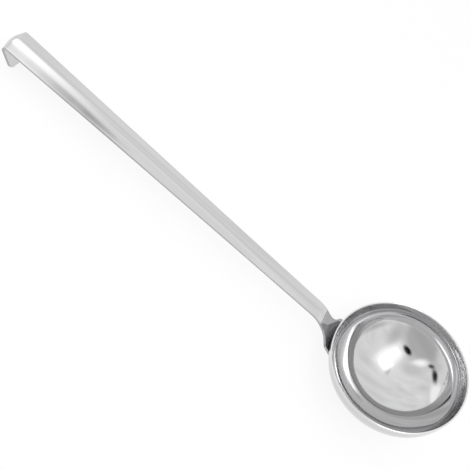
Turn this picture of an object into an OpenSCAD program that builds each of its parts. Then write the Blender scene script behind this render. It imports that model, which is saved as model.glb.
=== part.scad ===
// Serving ladle in polished stainless steel: a deep drawn bowl, and a handle pressed from one
// strip that hooks over at its far end and spreads into a leaf welded to the bowl's side.
// Both pieces are worked out with the bowl's rim level at z = 0, its axis on Z and the handle
// towards -X. The ladle is then laid down as it rests, on the bowl's bottom and the hook's tip.

/* [Bowl] */
// Outer diameter of the bowl at its rim
bowl_d = 100; // [92:1:110]
// Depth from the rim down to the underside
bowl_depth = 40.5; // [38:0.5:43]
// Outer radius of the corner that leads from the dished bottom into the wall
corner_r = 24; // [20:1:27]
// Length of the straight wall below the rim
wall_l = 4.7; // [3:0.1:7]
// Slope of the wall, in degrees
wall_slope = 87; // [84:1:89]
// Thickness of the bowl's sheet
bowl_wall = 1.2; // [0.8:0.1:2]

/* [Handle] */
// Thickness of the handle's sheet
sheet = 1.8; // [1.2:0.1:2.5]
// Length of the shaft, from the bend at the neck to the bend of the hook
shaft_l = 291; // [200:1:340]
// Rise of the shaft above the plane of the rim, in degrees
shaft_rise = 20; // [12:1:24]
// Width of the shaft where the hook starts
grip_w = 21.2; // [16:0.2:28]
// Width of the shaft at the neck
neck_w = 13; // [10:0.2:16]
// How far the shaft's sides curve in between its ends, where 1 is straight
taper_curve = 1.3; // [1:0.05:1.6]
// Height of the arch pressed along the strip
arch_h = 2.2; // [1.2:0.1:3]
// Share of a half wave that the arch follows from its ridge to the strip's edge
arch_wave = 0.75; // [0.5:0.05:0.9]

/* [Neck] */
// Distance of the neck's bend from the bowl's axis
neck_reach = 65; // [60:0.5:72]
// Height of the neck's bend above the plane of the rim
neck_h = 5; // [2:0.5:10]
// Radius of the neck's bend, along the middle of the sheet
neck_r = 12; // [6:1:20]

/* [Leaf] */
// Depth below the rim at which the leaf comes to lie on the bowl
seat_depth = 19; // [15:0.5:21]
// Length of the leaf that lies on the bowl
seat_l = 9; // [6:0.5:11]
// Width across the leaf's wings
leaf_w = 28; // [24:1:32]
// Distance below the neck's bend at which the wings are widest
flare_end = 20; // [17:0.5:22]
// How suddenly the strip widens into the wings, where 1 is evenly
flare_curve = 5; // [2:0.5:8]
// Radius of the leaf's lower corners
leaf_corner = 5.5; // [3:0.5:8]

/* [Hook] */
// Length of the tab beyond the corner of the hook's bend
tab_l = 23; // [18:0.5:26]
// Angle through which the hook is bent, in degrees
hook_turn = 134; // [120:1:142]
// Radius of the hook's bend, along the middle of the sheet
hook_r = 4; // [3:0.5:6]
// Radius of the tab's corners
tab_corner = 3; // [1:0.5:6]

/* [Hidden] */

// Sides of the revolved bowl, of the arcs of its outline and of its rounded rim
bowl_sides = 144;
outline_sides = 576;
rim_sides = 32;
// Points across the strip, on its upper and on its lower face
across = 12;
// Steps along each stretch of the strip's path, from the leaf to the tab
seat_steps = 4;
rise_steps = 28;
neck_steps = 8;
shaft_steps = 24;
hook_steps = 12;
tab_steps = 11;
// Steps round a corner of the strip's outline
corner_steps = 6;
// Overlap that makes sure that the leaf is cut to the bowl's own surface
bite = sheet / 18;
// A length past every size of the ladle, and a small one
far = 10 * bowl_d;
eps = sheet / 180;

// Directions at an angle, and square to it
function unit(a) = [cos(a), sin(a)];
function across_dir(a) = [-sin(a), cos(a)];
function smooth(u) = let (c = max(0, min(1, u))) c * c * (3 - 2 * c);
function mix(a, b, u) = a + (b - a) * u;

// The bowl's outline lies in the plane of [distance from the axis, height]. The dish's arc leads
// into the corner's, and that into the straight wall. An angle on the arcs is measured from
// straight down, so it is also the slope of the wall there.
rim_r = bowl_d / 2;
wall_dir = unit(wall_slope);
corner_c = [rim_r, 0] - wall_l * wall_dir + corner_r * across_dir(wall_slope);
// The one dish radius with which the dish touches the corner's arc
corner_up = corner_c.y + bowl_depth;
dish_r = (pow(norm([corner_c.x, corner_up]), 2) - corner_r * corner_r) / 2 / (corner_up - corner_r);
dish_c = [0, dish_r - bowl_depth];
dish_turn = atan2(corner_c.x, dish_c.y - corner_c.y);

// Middle of the leaf's sheet where it lies on the bowl, on the dish and above it on the corner
out = sheet / 2 - bite;
dish_skin = dish_r + out;
corner_skin = corner_r + out;
function on_bowl(a) =
    a < dish_turn ? dish_c - dish_skin * across_dir(a) : corner_c - corner_skin * across_dir(a);
function turn_at(depth) =
    let (a = acos((dish_c.y + depth) / dish_r))
    a < dish_turn ? a : acos((corner_c.y + depth) / corner_r);
seat_turn = turn_at(seat_depth);
seat_top = on_bowl(seat_turn);
s_dish = seat_l - max(0, seat_turn - dish_turn) * PI / 180 * corner_skin;

// Corners of the strip's path: the neck, the hook and the tip of its tab
neck_p = [neck_reach, neck_h];
hook_p = neck_p + shaft_l * unit(shaft_rise);
tab_dir = shaft_rise - hook_turn;
tip_p = hook_p + tab_l * unit(tab_dir);
// Straight stretch between the bowl and the neck
rise_run = neck_p - seat_top;
leaf_slope = atan2(rise_run.y, rise_run.x);
neck_turn = leaf_slope - shaft_rise;
neck_cut = neck_r * tan(neck_turn / 2);
hook_cut = hook_r * tan(hook_turn / 2);
neck_c = neck_p - neck_r / cos(neck_turn / 2) * across_dir((leaf_slope + shaft_rise) / 2);
hook_c = hook_p - hook_r / cos(hook_turn / 2) * across_dir((shaft_rise + tab_dir) / 2);

// Distances along the strip's path at which one stretch ends and the next starts
s_seat = seat_l;
s_neck = s_seat + norm(rise_run) - neck_cut;
s_shaft = s_neck + neck_r * neck_turn * PI / 180;
s_hook = s_shaft + shaft_l - neck_cut - hook_cut;
s_tab = s_hook + hook_r * hook_turn * PI / 180;
s_tip = s_tab + tab_l - hook_cut;
s_corner = s_neck + neck_cut;

// Direction and place of the path at the distance s from the leaf's lower end
function heading(s) =
    s < s_dish ? min(seat_turn, dish_turn) - (s_dish - s) / dish_skin * 180 / PI :
    s < s_seat ? seat_turn - (s_seat - s) / corner_skin * 180 / PI :
    s < s_neck ? leaf_slope :
    s < s_shaft ? leaf_slope - (s - s_neck) / neck_r * 180 / PI :
    s < s_hook ? shaft_rise :
    s < s_tab ? shaft_rise - (s - s_hook) / hook_r * 180 / PI :
    tab_dir;
function place(s) =
    s < s_seat ? on_bowl(heading(s)) :
    s < s_neck ? seat_top + (s - s_seat) * unit(leaf_slope) :
    s < s_shaft ? neck_c + neck_r * across_dir(heading(s)) :
    s < s_hook ? hook_p + (s - s_hook - hook_cut) * unit(shaft_rise) :
    s < s_tab ? hook_c + hook_r * across_dir(heading(s)) :
    hook_p + (s - s_tab + hook_cut) * unit(tab_dir);

// Half width of the strip before its ends are shaped, and with its wings and rounded corners
function strip_half(s) =
    let (along = max(0, min(1, (s - s_corner) / (s_hook - s_corner))))
    mix(neck_w, grip_w, pow(along, taper_curve)) / 2;
function corner_in(d, r) = d >= r ? 0 : r - sqrt(max(0, r * r - (r - d) * (r - d)));
s_wide = s_corner - flare_end;
function flare(s) = pow(max(0, min(1, (s_corner - s) / flare_end)), flare_curve);
function half_w(s) =
    strip_half(s)
        + flare(s) * (leaf_w - neck_w) / 2
        - corner_in(s, leaf_corner)
        - corner_in(s_tip - s, tab_corner);

// Share of the pressed arch, and of the curl that wraps the wings round the bowl
function arch(s) =
    smooth((s - s_seat) / (s_neck - s_seat))
        * (1 - smooth((s - s_hook) / (s_tip - s_hook)));
function curl(s) = smooth((s_neck - s) / (s_neck - s_wide));
wrap_r = seat_top.x / sin(seat_turn);

// Height of the sheet's middle above the path, at y across the strip. The arch is a wave with its
// ridge in the middle, and past the strip's own width the wings follow it up again.
function wave(u) = (1 - cos(180 * arch_wave * u)) / (1 - cos(180 * arch_wave));
function lift(s, y) = curl(s) * y * y / 2 / wrap_r - arch(s) * arch_h * wave(y / strip_half(s));
function tilt_across(s, y) = atan2(lift(s, y + eps) - lift(s, y - eps), 2 * eps);

// One cross-section: the upper face, the far edge, the lower face and the near edge. The faces stop
// short of the outermost point by the rounding of the edges.
edge_in = sheet * 0.3;
function face_y(s, i) = (half_w(s) - edge_in) * (2 * i / across - 1);
function face_point(s, y, side) =
    let (a = tilt_across(s, y))
    [y - side * sheet / 2 * sin(a), lift(s, y) + side * sheet / 2 * cos(a)];
function edge_point(s, side) =
    let (y = side * (half_w(s) - edge_in), a = tilt_across(s, y))
    [y + side * edge_in * cos(a), lift(s, y) + side * edge_in * sin(a)];
function section(s) = concat(
    [for (i = [0 : across]) face_point(s, face_y(s, i), 1)],
    [edge_point(s, 1)],
    [for (i = [across : -1 : 0]) face_point(s, face_y(s, i), -1)],
    [edge_point(s, -1)]
);
function ring(s) =
    let (p = place(s), a = heading(s))
    [for (q = section(s)) [-(p.x - q.y * sin(a)), q.x, p.y + q.y * cos(a)]];

// Distances along the path at which a cross-section is set
function steps(from, to, n) = [for (i = [0 : n - 1]) mix(from, to, i / n)];
function corner_stops(r) = [for (i = [0 : corner_steps]) r * (1 - cos(90 * i / corner_steps))];
stops = concat(
    [for (d = corner_stops(leaf_corner)) if (d < min(leaf_corner, s_seat) - eps) d],
    leaf_corner < s_seat ? steps(leaf_corner, s_seat, seat_steps) : [],
    steps(s_seat, s_neck, rise_steps),
    steps(s_neck, s_shaft, neck_steps),
    steps(s_shaft, s_hook, shaft_steps),
    steps(s_hook, s_tab, hook_steps),
    steps(s_tab, s_tip - tab_corner, tab_steps),
    [for (i = [corner_steps : -1 : 0]) s_tip - corner_stops(tab_corner)[i]]
);

// Closes rings of points into a solid. Each end is capped between its upper and lower face, where
// under(i) is the point of the lower face that lies beneath point i of the upper one.
function under(i) = 2 * across + 2 - i;
function flipped(face) = [for (i = [len(face) - 1 : -1 : 0]) face[i]];
module strip(rings) {
    n = len(rings[0]);
    last = (len(rings) - 1) * n;
    walls = [
        for (k = [0 : n : last - n]) for (i = [0 : n - 1])
            let (j = (i + 1) % n)
            [k + i, k + n + i, k + n + j, k + j]
    ];
    cap = concat(
        [[n - 1, 0, under(0)], [across, across + 1, under(across)]],
        [for (i = [0 : across - 1]) [i, i + 1, under(i + 1), under(i)]]
    );
    far_cap = [for (face = cap) flipped([for (i = face) last + i])];
    polyhedron([for (r = rings) each r], concat(cap, walls, far_cap), convexity = 8);
}

// Half outline of the bowl as a full body, with its surface set in by inset
module bowl_outline(inset) {
    foot = corner_c - (corner_r - inset) * across_dir(wall_slope);
    intersection() {
        translate([0, -far]) square([far, far]);
        union() {
            intersection() {
                translate(dish_c) circle(r = dish_r - inset, $fn = outline_sides);
                polygon([dish_c, dish_c - [0, far], dish_c - far * across_dir(dish_turn)]);
            }
            translate(corner_c) circle(r = corner_r - inset, $fn = outline_sides);
            polygon([dish_c, corner_c, foot, foot + far * wall_dir, [0, far]]);
        }
    }
}

module lie_down() {
    translate([-middle_x, 0, rest_lift]) rotate([0, -rest_tilt, 0]) children();
}

// The tilt at which the bowl's bottom and the outer edge of the tab's tip touch the same plane
touch_p = tip_p + sheet / 2 * across_dir(tab_dir);
touch_arm = touch_p - dish_c;
rest_tilt = acos(-dish_r / norm(touch_arm)) - atan2(touch_arm.x, touch_arm.y);
rest_lift = dish_r - dish_c.y * cos(rest_tilt);
// Ends of the ladle once it is laid down, which put the origin halfway between them
front_x = corner_c.x * cos(rest_tilt) - corner_c.y * sin(rest_tilt) + corner_r;
back_x = -hook_c.x * cos(rest_tilt) - hook_c.y * sin(rest_tilt) - hook_r - sheet / 2;
middle_x = (front_x + back_x) / 2;

module bowl() {
    color("gainsboro") lie_down() rotate_extrude($fn = bowl_sides) {
        difference() {
            bowl_outline(0);
            bowl_outline(bowl_wall);
        }
        translate([rim_r - bowl_wall / 2, 0]) circle(d = bowl_wall, $fn = rim_sides);
    }
}

module handle() {
    color("silver") lie_down() difference() {
        strip([for (s = stops) ring(s)]);
        rotate_extrude($fn = bowl_sides) bowl_outline(0);
    }
}

bowl();
handle();
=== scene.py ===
import math

import bpy
from mathutils import Matrix, Vector


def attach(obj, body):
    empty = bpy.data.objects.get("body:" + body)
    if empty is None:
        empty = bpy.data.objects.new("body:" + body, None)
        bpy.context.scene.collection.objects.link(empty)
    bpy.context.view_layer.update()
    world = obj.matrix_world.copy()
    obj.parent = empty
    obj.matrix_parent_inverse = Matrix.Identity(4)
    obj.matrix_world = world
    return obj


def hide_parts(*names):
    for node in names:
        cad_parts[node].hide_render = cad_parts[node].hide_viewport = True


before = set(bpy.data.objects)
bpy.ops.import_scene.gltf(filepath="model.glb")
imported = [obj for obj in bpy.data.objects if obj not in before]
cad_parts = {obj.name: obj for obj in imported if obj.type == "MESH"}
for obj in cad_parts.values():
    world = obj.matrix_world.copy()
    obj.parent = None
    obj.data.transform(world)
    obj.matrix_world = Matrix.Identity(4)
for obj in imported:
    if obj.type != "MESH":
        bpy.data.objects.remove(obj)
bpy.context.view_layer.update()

# Bowl: one round blank of stainless steel sheet, deep drawn into a wide dish, a rounded corner and
# a short steep wall. The cut edge at the rim is rounded, and it is polished to a mirror. It is
# modelled with its rim level at z = 0 and its axis on Z, as a profile that is spun round.
BOWL_D = 0.100
BOWL_DEPTH = 0.0405
CORNER_R = 0.024
WALL_L = 0.0047
WALL_SLOPE = math.radians(87)
BOWL_WALL = 0.0012
BOWL_SIDES = 240
DISH_RINGS = 48
CORNER_RINGS = 32
WALL_RINGS = 6
RIM_RINGS = 8
MERGE_WITHIN = 1e-6
QUARTER_TURN = math.pi / 2


def unit(a):
    return Vector((math.cos(a), math.sin(a)))


# The outline is worked out as distance from the axis and height. The straight wall ends at the
# rim, and the dish has the radius that touches the corner's arc.
rim_p = Vector((BOWL_D / 2, 0))
corner_c = rim_p - WALL_L * unit(WALL_SLOPE) + CORNER_R * unit(WALL_SLOPE + QUARTER_TURN)
corner_up = corner_c.y + BOWL_DEPTH
dish_r = (corner_c.x ** 2 + corner_up ** 2 - CORNER_R ** 2) / 2 / (corner_up - CORNER_R)
dish_c = Vector((0, dish_r - BOWL_DEPTH))
dish_turn = math.atan2(corner_c.x, dish_c.y - corner_c.y)


def on_wall(turn, out):
    # The point where the dish or the corner slopes by turn, set out from the outer face
    if turn < dish_turn:
        return dish_c + (dish_r + out) * unit(turn - QUARTER_TURN)
    return corner_c + (CORNER_R + out) * unit(turn - QUARTER_TURN)


def wall_points(out):
    # From the bottom's middle out to the rim
    turns = [dish_turn * i / DISH_RINGS for i in range(DISH_RINGS)]
    turns += [dish_turn + (WALL_SLOPE - dish_turn) * i / CORNER_RINGS
              for i in range(CORNER_RINGS + 1)]
    points = [on_wall(turn, out) for turn in turns]
    foot = points[-1]
    return points + [foot + WALL_L * i / WALL_RINGS * unit(WALL_SLOPE)
                     for i in range(1, WALL_RINGS + 1)]


def deselect():
    bpy.ops.object.select_all(action="DESELECT")


def start_profile(name, first):
    # A plane drawn together to its middle leaves the one vertex that a profile starts from
    deselect()
    bpy.ops.mesh.primitive_plane_add(size=1)
    piece = bpy.context.object
    piece.name = name
    bpy.ops.object.mode_set(mode="EDIT")
    bpy.ops.mesh.merge(type="CENTER")
    bpy.ops.transform.translate(value=first)
    return piece


rim_mid = rim_p + BOWL_WALL / 2 * unit(WALL_SLOPE + QUARTER_TURN)
rim_edge = [
    rim_mid + BOWL_WALL / 2 * unit(WALL_SLOPE + QUARTER_TURN - math.pi * i / RIM_RINGS)
    for i in range(1, RIM_RINGS)]
profile = wall_points(-BOWL_WALL) + rim_edge + wall_points(0)[::-1]
bowl = start_profile("bowl_shell", (profile[0].x, 0, profile[0].y))
for start, end in zip(profile, profile[1:]):
    step = end - start
    bpy.ops.mesh.extrude_region_move(TRANSFORM_OT_translate={"value": (step.x, 0, step.y)})
bpy.ops.mesh.select_all(action="SELECT")
bpy.ops.mesh.spin(steps=BOWL_SIDES, angle=2 * math.pi, center=(0, 0, 0), axis=(0, 0, 1))
bpy.ops.mesh.select_all(action="SELECT")
bpy.ops.mesh.remove_doubles(threshold=MERGE_WITHIN)
bpy.ops.mesh.normals_make_consistent(inside=False)
bpy.ops.object.mode_set(mode="OBJECT")
bpy.ops.object.shade_smooth()

# Each point keeps its distance from the axis and its height below the rim, for the polish
ring_place = bowl.data.attributes.new("ring_place", "FLOAT_VECTOR", "POINT")
for point, kept in zip(bowl.data.vertices, ring_place.data):
    kept.vector = (math.hypot(point.co.x, point.co.y), point.co.z, 0)


def new_material(name):
    material = bpy.data.materials.new(name)
    material.use_nodes = True
    return material


def add_node(owner, kind, values, **settings):
    # owner is a material or the world, and values go on the node's own sockets
    node = owner.node_tree.nodes.new("ShaderNode" + kind)
    for setting, choice in settings.items():
        setattr(node, setting, choice)
    for socket, value in values.items():
        node.inputs[socket].default_value = value
    return node


def join(owner, *ends):
    # Links each output to the input that follows it
    for output, target in zip(ends[::2], ends[1::2]):
        owner.node_tree.links.new(output, target)


# The polish is a mirror, with what the wheel left in it. Fine lines follow the wheel, fingers and
# # cloth leave duller smudges, the press left faint waves in the sheet, and the cut edges are
# brushed,
# # with a colour of their own: worn bright on the bowl's rim, painted shade on the handle's edge.
STEEL = (0.62, 0.62, 0.625, 1)
MIRROR_ROUGH = 0.04
LINE_ROUGH = 0.08
LINE_SHOWS = (0.35, 0.75)
LINE_DETAIL = 5
LINE_BREAKS = 0.6
LINE_H = 0.0000015
SMUDGE_ROUGH = 0.06
SMUDGE_SHOWS = (0.5, 0.8)
SMUDGE_SIZE = 28
SMUDGE_DETAIL = 3
SMUDGE_CURL = 0.6
WAVE_SIZE = 48
WAVE_DETAIL = 1
WAVE_H = 0.00012
EDGE_ROUGH = 0.16


def polish(material, lines, edge, edge_wear_and_shade):
    # lines is the place that the wheel's lines are drawn from, edge is 1 on the cut edge, and
    #     # edge_wear_and_shade is that edge's colour: real wear on the bowl's rim, painted shade on
    #     the handle
    shader = material.node_tree.nodes["Principled BSDF"]
    shader.inputs["Metallic"].default_value = 1
    place = add_node(material, "TexCoord", {}).outputs["Object"]

    streaks = add_node(material, "TexNoise", {
        "Scale": 1, "Detail": LINE_DETAIL, "Roughness": LINE_BREAKS})
    smudges = add_node(material, "TexNoise", {
        "Scale": SMUDGE_SIZE, "Detail": SMUDGE_DETAIL, "Distortion": SMUDGE_CURL})
    waves = add_node(material, "TexNoise", {"Scale": WAVE_SIZE, "Detail": WAVE_DETAIL})
    join(material, lines, streaks.inputs["Vector"],
         place, smudges.inputs["Vector"],
         place, waves.inputs["Vector"])

    lined = add_node(material, "MapRange", {
        "From Min": LINE_SHOWS[0], "From Max": LINE_SHOWS[1],
        "To Min": MIRROR_ROUGH, "To Max": LINE_ROUGH})
    smudged = add_node(material, "MapRange", {
        "From Min": SMUDGE_SHOWS[0], "From Max": SMUDGE_SHOWS[1],
        "To Min": 0, "To Max": SMUDGE_ROUGH})
    summed = add_node(material, "Math", {}, operation="ADD")
    rough = add_node(material, "Mix", {"B": EDGE_ROUGH})
    join(material, streaks.outputs["Fac"], lined.inputs["Value"],
         smudges.outputs["Fac"], smudged.inputs["Value"],
         lined.outputs["Result"], summed.inputs[0],
         smudged.outputs["Result"], summed.inputs[1],
         summed.outputs[0], rough.inputs["A"],
         edge, rough.inputs["Factor"],
         rough.outputs["Result"], shader.inputs["Roughness"])

    # The cut edge's colour: worn brighter on the bowl's rim, and on the handle a painted shade,
    # darker for the dark reflection of its rounded edges
    colour = add_node(material, "Mix", {"A": STEEL, "B": edge_wear_and_shade}, data_type="RGBA")
    join(material, edge, colour.inputs["Factor"],
         colour.outputs["Result"], shader.inputs["Base Color"])

    wavy = add_node(material, "Bump", {"Strength": 1, "Distance": WAVE_H})
    scored = add_node(material, "Bump", {"Strength": 1, "Distance": LINE_H})
    join(material, waves.outputs["Fac"], wavy.inputs["Height"],
         streaks.outputs["Fac"], scored.inputs["Height"],
         wavy.outputs["Normal"], scored.inputs["Normal"],
         scored.outputs["Normal"], shader.inputs["Normal"])


# On the bowl the lines run round its axis, and the cut edge is the rim, worn bright
RING_LINES = 700
RIM_WEAR_STARTS = -0.0014
RIM_WEAR_FULL = -0.00035
RIM_TONE = (0.74, 0.74, 0.74, 1)
bowl_steel = new_material("bowl_polish")
on_ring = add_node(bowl_steel, "Attribute", {}, attribute_name="ring_place").outputs["Vector"]
ring_lines = add_node(bowl_steel, "Mapping", {"Scale": (RING_LINES, RING_LINES, 0)})
height = add_node(bowl_steel, "SeparateXYZ", {})
near_rim = add_node(bowl_steel, "MapRange", {
    "From Min": RIM_WEAR_STARTS, "From Max": RIM_WEAR_FULL})
join(bowl_steel, on_ring, ring_lines.inputs["Vector"],
     on_ring, height.inputs["Vector"],
     height.outputs["Y"], near_rim.inputs["Value"])
polish(bowl_steel, ring_lines.outputs["Vector"], near_rim.outputs["Result"], RIM_TONE)
bowl.data.materials.append(bowl_steel)
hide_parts("bowl")
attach(bowl, "root")

# Handle: one strip of thicker stainless steel sheet. Its lower end spreads into a leaf that wraps
# round the bowl's side and is welded there, the shaft is pressed into a shallow arch and widens
# towards the far end, and the end is bent over into a hook with a flat tab.
SHEET = 0.0018
SHAFT_L = 0.291
SHAFT_RISE = math.radians(20)
GRIP_W = 0.0212
NECK_W = 0.013
TAPER_CURVE = 1.3
ARCH_H = 0.0022
ARCH_NECK_H = 0.0003
ARCH_WAVE = 0.75
NECK_REACH = 0.065
NECK_H = 0.005
NECK_R = 0.020
SEAT_DEPTH = 0.019
SEAT_L = 0.009
LEAF_W = 0.028
FLARE_END = 0.020
FLARE_CURVE = 5
LEAF_CORNER = 0.0055
TAB_L = 0.023
HOOK_TURN = math.radians(134)
HOOK_R = 0.004
TAB_CORNER = 0.003
ACROSS = 32
SHAFT_STEP = 0.003
BEND_STEP = 0.0005
CORNER_STEPS = 10
EDGE_ROUND = 0.0006
EDGE_SEGMENTS = 4
EDGE_ANGLE = math.radians(50)


def clamp(u):
    return max(0.0, min(1.0, u))


def smooth(u):
    u = clamp(u)
    return u * u * (3 - 2 * u)


# Middle of the sheet where the leaf lies on the bowl, then the corners of the strip's path
dish_skin = dish_r + SHEET / 2
corner_skin = CORNER_R + SHEET / 2
seat_turn = math.acos((dish_c.y + SEAT_DEPTH) / dish_r)
if seat_turn > dish_turn:
    seat_turn = math.acos((corner_c.y + SEAT_DEPTH) / CORNER_R)
s_dish = SEAT_L - max(0, seat_turn - dish_turn) * corner_skin
seat_top = on_wall(seat_turn, SHEET / 2)
wrap_r = seat_top.x / math.sin(seat_turn)
neck_p = Vector((NECK_REACH, NECK_H))
hook_p = neck_p + SHAFT_L * unit(SHAFT_RISE)
tab_turn = SHAFT_RISE - HOOK_TURN
tip_p = hook_p + TAB_L * unit(tab_turn)
rise_run = neck_p - seat_top
leaf_slope = math.atan2(rise_run.y, rise_run.x)
neck_turn = leaf_slope - SHAFT_RISE
neck_cut = NECK_R * math.tan(neck_turn / 2)
hook_cut = HOOK_R * math.tan(HOOK_TURN / 2)
neck_c = neck_p + NECK_R / math.cos(neck_turn / 2) * unit(
    (leaf_slope + SHAFT_RISE - math.pi) / 2)
hook_c = hook_p + HOOK_R / math.cos(HOOK_TURN / 2) * unit(
    (SHAFT_RISE + tab_turn - math.pi) / 2)

# Distances along the path at which one stretch ends and the next starts
s_seat = SEAT_L
s_neck = s_seat + rise_run.length - neck_cut
s_shaft = s_neck + NECK_R * neck_turn
s_hook = s_shaft + SHAFT_L - neck_cut - hook_cut
s_tab = s_hook + HOOK_R * HOOK_TURN
s_tip = s_tab + TAB_L - hook_cut
s_corner = s_neck + neck_cut
s_wide = s_corner - FLARE_END


def heading(s):
    # The path's slope at the distance s from the leaf's lower end
    if s < s_dish:
        return min(seat_turn, dish_turn) - (s_dish - s) / dish_skin
    if s < s_seat:
        return seat_turn - (s_seat - s) / corner_skin
    if s < s_neck:
        return leaf_slope
    if s < s_shaft:
        return leaf_slope - (s - s_neck) / NECK_R
    if s < s_hook:
        return SHAFT_RISE
    if s < s_tab:
        return SHAFT_RISE - (s - s_hook) / HOOK_R
    return tab_turn


def on_path(s):
    if s < s_seat:
        return on_wall(heading(s), SHEET / 2)
    if s < s_neck:
        return seat_top + (s - s_seat) * unit(leaf_slope)
    if s < s_shaft:
        return neck_c + NECK_R * unit(heading(s) + QUARTER_TURN)
    if s < s_hook:
        return hook_p + (s - s_hook - hook_cut) * unit(SHAFT_RISE)
    if s < s_tab:
        return hook_c + HOOK_R * unit(heading(s) + QUARTER_TURN)
    return hook_p + (s - s_tab + hook_cut) * unit(tab_turn)


def strip_half(s):
    # Half the strip's width, without the wings and the corners of its ends
    along = clamp((s - s_corner) / (s_hook - s_corner))
    return (NECK_W + (GRIP_W - NECK_W) * along ** TAPER_CURVE) / 2


def corner_in(d, r):
    return 0 if d >= r else r - math.sqrt(max(0, r * r - (r - d) ** 2))


def half_w(s):
    flare = clamp((s_corner - s) / FLARE_END) ** FLARE_CURVE
    return (strip_half(s) + flare * (LEAF_W - NECK_W) / 2
            - corner_in(s, LEAF_CORNER) - corner_in(s_tip - s, TAB_CORNER))


def wing_curl(s):
    return smooth((s_neck - s) / (s_neck - s_wide))


def lift(s, y):
    # The arch pressed along the strip, and the curl of the wings round the bowl
    arch = smooth((s - s_seat) / (s_neck - s_seat)) * (1 - smooth((s - s_hook) / (s_tip - s_hook)))
    wave = (1 - math.cos(math.pi * ARCH_WAVE * y / strip_half(s))) / (
        1 - math.cos(math.pi * ARCH_WAVE))
    along = clamp((s - s_neck) / (s_hook - s_neck))
    arch_h = ARCH_NECK_H + (ARCH_H - ARCH_NECK_H) * along
    return wing_curl(s) * y * y / 2 / wrap_r - arch * arch_h * wave


def on_strip(s, u):
    # A point of the sheet's middle at u = -1 to 1 across the strip, kept out of the bowl's wall
    p = on_path(s)
    a = heading(s)
    y = u * half_w(s) * (1 - wing_curl(s) * SHEET / 2 / wrap_r)
    h = lift(s, y)
    x = p.x - h * math.sin(a)
    z = p.y + h * math.cos(a)
    r = math.hypot(x, y)
    turn = math.atan2(r, dish_c.y - z)
    middle, skin = (dish_c, dish_skin) if turn < dish_turn else (corner_c, corner_skin)
    arm = Vector((r, z)) - middle
    if arm.length < skin:
        pushed = middle + skin * arm.normalized()
        x, y, z = x * pushed.x / r, y * pushed.x / r, pushed.y
    return (-x, y, z)


def even_stops(start, end, step):
    n = max(1, math.ceil((end - start) / step))
    return [start + (end - start) * i / n for i in range(n)]


corner_stops = [1 - math.cos(QUARTER_TURN * i / CORNER_STEPS) for i in range(CORNER_STEPS + 1)]
stops = (
    [LEAF_CORNER * c for c in corner_stops[:-1]]
    + even_stops(LEAF_CORNER, s_neck, BEND_STEP)
    + even_stops(s_neck, s_shaft, BEND_STEP)
    + even_stops(s_shaft, s_hook, SHAFT_STEP)
    + even_stops(s_hook, s_tab, BEND_STEP)
    + even_stops(s_tab, s_tip - TAB_CORNER, BEND_STEP)
    + [s_tip - TAB_CORNER * c for c in corner_stops[::-1]])

# The flat blank is a grid from -1 to 1 with one row for each stop, whose rows are then pressed
# into place
last_row = len(stops) - 1
deselect()
bpy.ops.mesh.primitive_grid_add(x_subdivisions=last_row, y_subdivisions=ACROSS, size=2)
handle = bpy.context.object
handle.name = "handle_strip"
for point in handle.data.vertices:
    row = round((point.co.x + 1) / 2 * last_row)
    point.co = on_strip(stops[row], point.co.y)
bpy.ops.object.mode_set(mode="EDIT")
bpy.ops.mesh.select_all(action="SELECT")
bpy.ops.mesh.flip_normals()
bpy.ops.object.mode_set(mode="OBJECT")

# The strip's outline keeps a mark, through both modifiers, that its rougher edge and the painted
# shade on that edge follow
outline = handle.data.attributes.new("outline", "FLOAT", "POINT")
for i, mark in enumerate(outline.data):
    column, row = divmod(i, last_row + 1)
    mark.value = float(row in (0, last_row) or column in (0, ACROSS))
thicken = handle.modifiers.new("thickness", "SOLIDIFY")
thicken.thickness = SHEET
thicken.offset = 0
round_off = handle.modifiers.new("rounded_edges", "BEVEL")
round_off.width = EDGE_ROUND
round_off.segments = EDGE_SEGMENTS
round_off.limit_method = "ANGLE"
round_off.angle_limit = EDGE_ANGLE
for name in ("thickness", "rounded_edges"):
    bpy.ops.object.modifier_apply(modifier=name)
bpy.ops.object.shade_smooth()

# On the handle the lines run along it, and the cut edge goes all round, left dull and painted
# darker:
# # a painted shade that stands for the dark reflection of its rounded edges
LINES_ALONG = 12
LINES_ACROSS = 900
# Painted shade: the handle's edge is coloured darker than the steel, for the dark reflection of its
# rounded edges
STRIP_EDGE_PAINTED_SHADE = (0.42, 0.42, 0.425, 1)
handle_steel = new_material("handle_polish")
handle_place = add_node(handle_steel, "TexCoord", {}).outputs["Object"]
along_strip = add_node(handle_steel, "Mapping", {
    "Scale": (LINES_ALONG, LINES_ACROSS, LINES_ALONG)})
strip_edge = add_node(handle_steel, "Attribute", {}, attribute_name="outline")
join(handle_steel, handle_place, along_strip.inputs["Vector"])
polish(handle_steel, along_strip.outputs["Vector"], strip_edge.outputs["Fac"], STRIP_EDGE_PAINTED_SHADE)
handle.data.materials.append(handle_steel)
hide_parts("handle")
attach(handle, "root")

# Both pieces are laid down together, on the bowl's bottom and the outer edge of the tab's tip,
# with the origin halfway between the ladle's ends
touch_p = tip_p + SHEET / 2 * unit(tab_turn + QUARTER_TURN)
touch_arm = touch_p - dish_c
rest_tilt = math.acos(-dish_r / touch_arm.length) - math.atan2(touch_arm.x, touch_arm.y)
rest_lift = dish_r - dish_c.y * math.cos(rest_tilt)
front_x = corner_c.x * math.cos(rest_tilt) - corner_c.y * math.sin(rest_tilt) + CORNER_R
back_x = (-hook_c.x * math.cos(rest_tilt) - hook_c.y * math.sin(rest_tilt)
          - HOOK_R - SHEET / 2)
rest_shift = -(front_x + back_x) / 2
laid_down = (Matrix.Translation((rest_shift, 0, rest_lift))
             @ Matrix.Rotation(-rest_tilt, 4, "Y"))
bowl.data.transform(laid_down)
handle.data.transform(laid_down)

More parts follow.
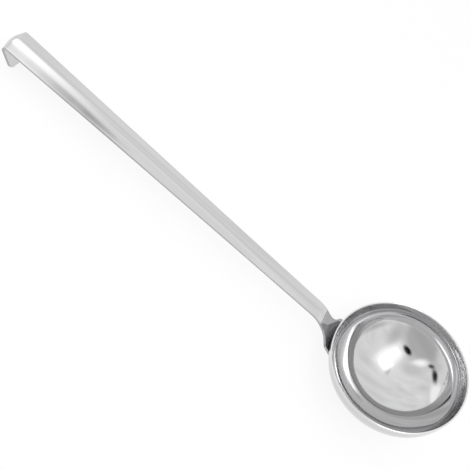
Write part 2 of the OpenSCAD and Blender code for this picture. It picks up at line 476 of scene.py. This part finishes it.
# Floor: a plain white sweep under the ladle. The camera and the steel see it as paper white, and
# a share of its own tone is left in it, which holds the ladle's soft shadow.
FLOOR_SIZE = 6
FLOOR_DROP = 0.0002
PAPER = (0.95, 0.95, 0.95, 1)
PAPER_ROUGH = 0.9
SHADOW_SHARE = 0.15
deselect()
bpy.ops.mesh.primitive_plane_add(size=FLOOR_SIZE, location=(0, 0, -FLOOR_DROP))
floor = bpy.context.object
floor.name = "floor"
sweep = new_material("floor_white")
sweep_nodes = sweep.node_tree.nodes
paper = sweep_nodes["Principled BSDF"]
paper.inputs["Base Color"].default_value = PAPER
paper.inputs["Roughness"].default_value = PAPER_ROUGH
white = add_node(sweep, "Emission", {"Strength": 1})
seen = add_node(sweep, "LightPath", {})
camera_or_steel = add_node(sweep, "Math", {}, operation="ADD")
or_glass = add_node(sweep, "Math", {}, operation="ADD", use_clamp=True)
white_share = add_node(sweep, "Math", {1: 1 - SHADOW_SHARE}, operation="MULTIPLY")
blend = add_node(sweep, "MixShader", {})
join(sweep, seen.outputs["Is Camera Ray"], camera_or_steel.inputs[0],
     seen.outputs["Is Glossy Ray"], camera_or_steel.inputs[1],
     camera_or_steel.outputs[0], or_glass.inputs[0],
     seen.outputs["Is Transmission Ray"], or_glass.inputs[1],
     or_glass.outputs[0], white_share.inputs[0],
     white_share.outputs[0], blend.inputs["Fac"],
     paper.outputs["BSDF"], blend.inputs[1],
     white.outputs["Emission"], blend.inputs[2],
     blend.outputs["Shader"], sweep_nodes["Material Output"].inputs["Surface"])
floor.data.materials.append(sweep)

# Studio: a white tent of hanging cloth, which the steel mirrors with all that is in it. Each patch
# lies round a direction, given as azimuth, elevation and roll, its half width and half height, all
# in degrees, how soft its edge is, and its brightness. A later patch covers an earlier one.
TENT_WHITE = 1.0
PATCHES = {
    "lamp_glow": (-116, 76, 0, 30, 20, 0.7, 1.15),
    "camera_side": (-112, 18, -24, 32, 26, 0.3, 0.64),
    "tent_foot": (-120, 17, 6, 30, 8, 0.7, 0.58),
    "hook_shade": (-150, 80.8, -6, 14.3, 5.9, 0.3, 0.66),
    "dark_slot": (-177.3, 83.8, 47, 6.2, 2.2, 0.3, 0.08),
    "lens": (-116, 45.3, 9, 8.2, 4.0, 0.45, 0.0),
    "low_gap": (-170, 9.5, 20, 13, 4.4, 0.5, 0.03),
    "stand": (-152.5, 16.8, -23.5, 2.8, 4.8, 0.7, 0.1),
    "light_gap": (-146, 34, 0, 5.5, 11, 0.7, 1.45),
    "near_seam": (-158, 44, -102, 16, 9, 0.6, 0.85),
    "tent_hem": (-177.7, 1, 14, 15.5, 5, 0.4, 1.0),
    "right_fold": (-30, 36, 10, 18, 4, 0.9, 0.7),
    "front_fold": (-75, 42, 0, 9, 14, 1.0, 0.72),
    "left_light": (160.5, -4, 34, 26, 9.5, 0.3, 1.35)}
FOLD_SIZE = (0.7, 5, 3)
FOLD_DETAIL = 2
FOLD_DEPTH = 0.3

tent = bpy.data.worlds.new("tent")
bpy.context.scene.world = tent
tent.use_nodes = True
ray = add_node(tent, "TexCoord", {}).outputs["Generated"]
unit_ray = add_node(tent, "VectorMath", {}, operation="NORMALIZE")
direction = unit_ray.outputs[0]
hung = add_node(tent, "Mapping", {"Scale": FOLD_SIZE})
folds = add_node(tent, "TexNoise", {"Scale": 1, "Detail": FOLD_DETAIL})
tone = add_node(tent, "MapRange", {
    "To Min": TENT_WHITE - FOLD_DEPTH, "To Max": TENT_WHITE + FOLD_DEPTH})
join(tent, ray, unit_ray.inputs[0],
     direction, hung.inputs["Vector"],
     hung.outputs["Vector"], folds.inputs["Vector"],
     folds.outputs["Fac"], tone.inputs["Value"])
level = tone.outputs["Result"]
for azimuth, elevation, roll, half_wide, half_high, soft, brightness in PATCHES.values():
    a, e, turn, wide, high = (math.radians(v) for v in (
        azimuth, elevation, roll, half_wide, half_high))
    centre = Vector((math.cos(e) * math.cos(a), math.cos(e) * math.sin(a), math.sin(e)))
    aside = Vector((-math.sin(a), math.cos(a), 0))
    above = centre.cross(aside)
    patch_x = aside * math.cos(turn) + above * math.sin(turn)
    patch_y = centre.cross(patch_x)
    patch_turn = Matrix((patch_x, patch_y, centre)).transposed().to_euler()
    nearby = add_node(tent, "Mapping", {
        "Location": centre, "Rotation": patch_turn,
        "Scale": (math.sin(wide), math.sin(high), 1)}, vector_type="TEXTURE")
    distance = add_node(tent, "VectorMath", {}, operation="LENGTH")
    share = add_node(tent, "MapRange", {
        "From Min": 1 + soft, "From Max": 1 - soft}, interpolation_type="SMOOTHSTEP")
    patched = add_node(tent, "Mix", {"B": brightness})
    join(tent, direction, nearby.inputs["Vector"],
         nearby.outputs["Vector"], distance.inputs[0],
         distance.outputs["Value"], share.inputs["Value"],
         share.outputs["Result"], patched.inputs["Factor"],
         level, patched.inputs["A"])
    level = patched.outputs["Result"]

# The camera itself sees the tent as plain white
path = add_node(tent, "LightPath", {})
shown = add_node(tent, "Mix", {"B": 1})
backdrop = tent.node_tree.nodes["Background"]
backdrop.inputs["Color"].default_value = (1, 1, 1, 1)
join(tent, path.outputs["Is Camera Ray"], shown.inputs["Factor"],
     level, shown.inputs["A"],
     shown.outputs["Result"], backdrop.inputs["Strength"])

# Lamps: a long soft box with a glow round it hangs over the bowl, and a dimmer one over the hook,
# edge on to the bowl. Each is a cloth, clear but for its own light, which fades to its edges. It is
# given by its middle, tilt and turn, length and width, and how much light it adds to the tent's.
LAMPS = {
    "soft_box": (0.126, -0.112, 0.450, 0, 74, 0.34, 0.115, 3.6),
    "soft_box_end": (0.110, -0.015, 0.452, 0, 70, 0.17, 0.16, 1.5),
    "soft_box_glow": (0.120, -0.130, 0.454, 0, 74, 0.56, 0.30, 0.45),
    "hook_box": (-0.315, 0.080, 0.171, 16.5, -16.5, 0.41, 0.138, 0.8)}
FADE_FROM = 0.35
for name, (x, y, z, tilt, turn, length, width, brightness) in LAMPS.items():
    deselect()
    bpy.ops.mesh.primitive_plane_add(
        size=1, location=(x, y, z), rotation=(0, math.radians(tilt), math.radians(turn)))
    cloth = bpy.context.object
    cloth.name = name
    cloth.scale = (length, width, 1)
    cloth.visible_camera = False
    glowing = new_material(name)
    glowing_nodes = glowing.node_tree.nodes
    glowing_nodes.remove(glowing_nodes["Principled BSDF"])
    on_cloth = add_node(glowing, "TexCoord", {}).outputs["UV"]
    centred = add_node(glowing, "Mapping", {
        "Location": (0.5, 0.5, 0), "Scale": (0.5, 0.5, 1)}, vector_type="TEXTURE")
    sides = add_node(glowing, "SeparateXYZ", {})
    join(glowing, on_cloth, centred.inputs["Vector"],
         centred.outputs["Vector"], sides.inputs["Vector"])
    both = add_node(glowing, "Math", {}, operation="MULTIPLY")
    for i, side in enumerate("XY"):
        far_out = add_node(glowing, "Math", {}, operation="ABSOLUTE")
        fade = add_node(glowing, "MapRange", {
            "From Min": 1, "From Max": FADE_FROM}, interpolation_type="SMOOTHSTEP")
        join(glowing, sides.outputs[side], far_out.inputs[0],
             far_out.outputs[0], fade.inputs["Value"],
             fade.outputs["Result"], both.inputs[i])
    power = add_node(glowing, "Math", {1: brightness}, operation="MULTIPLY")
    glow = add_node(glowing, "Emission", {})
    clear = add_node(glowing, "BsdfTransparent", {})
    added = add_node(glowing, "AddShader", {})
    join(glowing, both.outputs[0], power.inputs[0],
         power.outputs[0], glow.inputs["Strength"],
         glow.outputs["Emission"], added.inputs[0],
         clear.outputs["BSDF"], added.inputs[1],
         added.outputs["Shader"], glowing_nodes["Material Output"].inputs["Surface"])
    cloth.data.materials.append(glowing)

# A mirror that faces itself hands light on many times, as the bowl's side does
GLOSSY_BOUNCES = 12
scene = bpy.context.scene
scene.cycles.glossy_bounces = GLOSSY_BOUNCES

# Camera: looks down on the ladle from its near side, as the photograph does
CAMERA_AT = (-0.04968, -0.27289, 0.42676)
CAMERA_TURN = (23.002, -26.380, 35.164)
CAMERA_LENS = 53.617
CAMERA_SENSOR = 36
CAMERA_NEAR = 0.01
scene.view_settings.view_transform = "Standard"
camera_data = bpy.data.cameras.new("camera")
camera = bpy.data.objects.new("camera", camera_data)
scene.collection.objects.link(camera)
scene.camera = camera
camera.location = CAMERA_AT
camera.rotation_euler = [math.radians(a) for a in CAMERA_TURN]
camera_data.sensor_width = CAMERA_SENSOR
camera_data.lens = CAMERA_LENS
camera_data.clip_start = CAMERA_NEAR
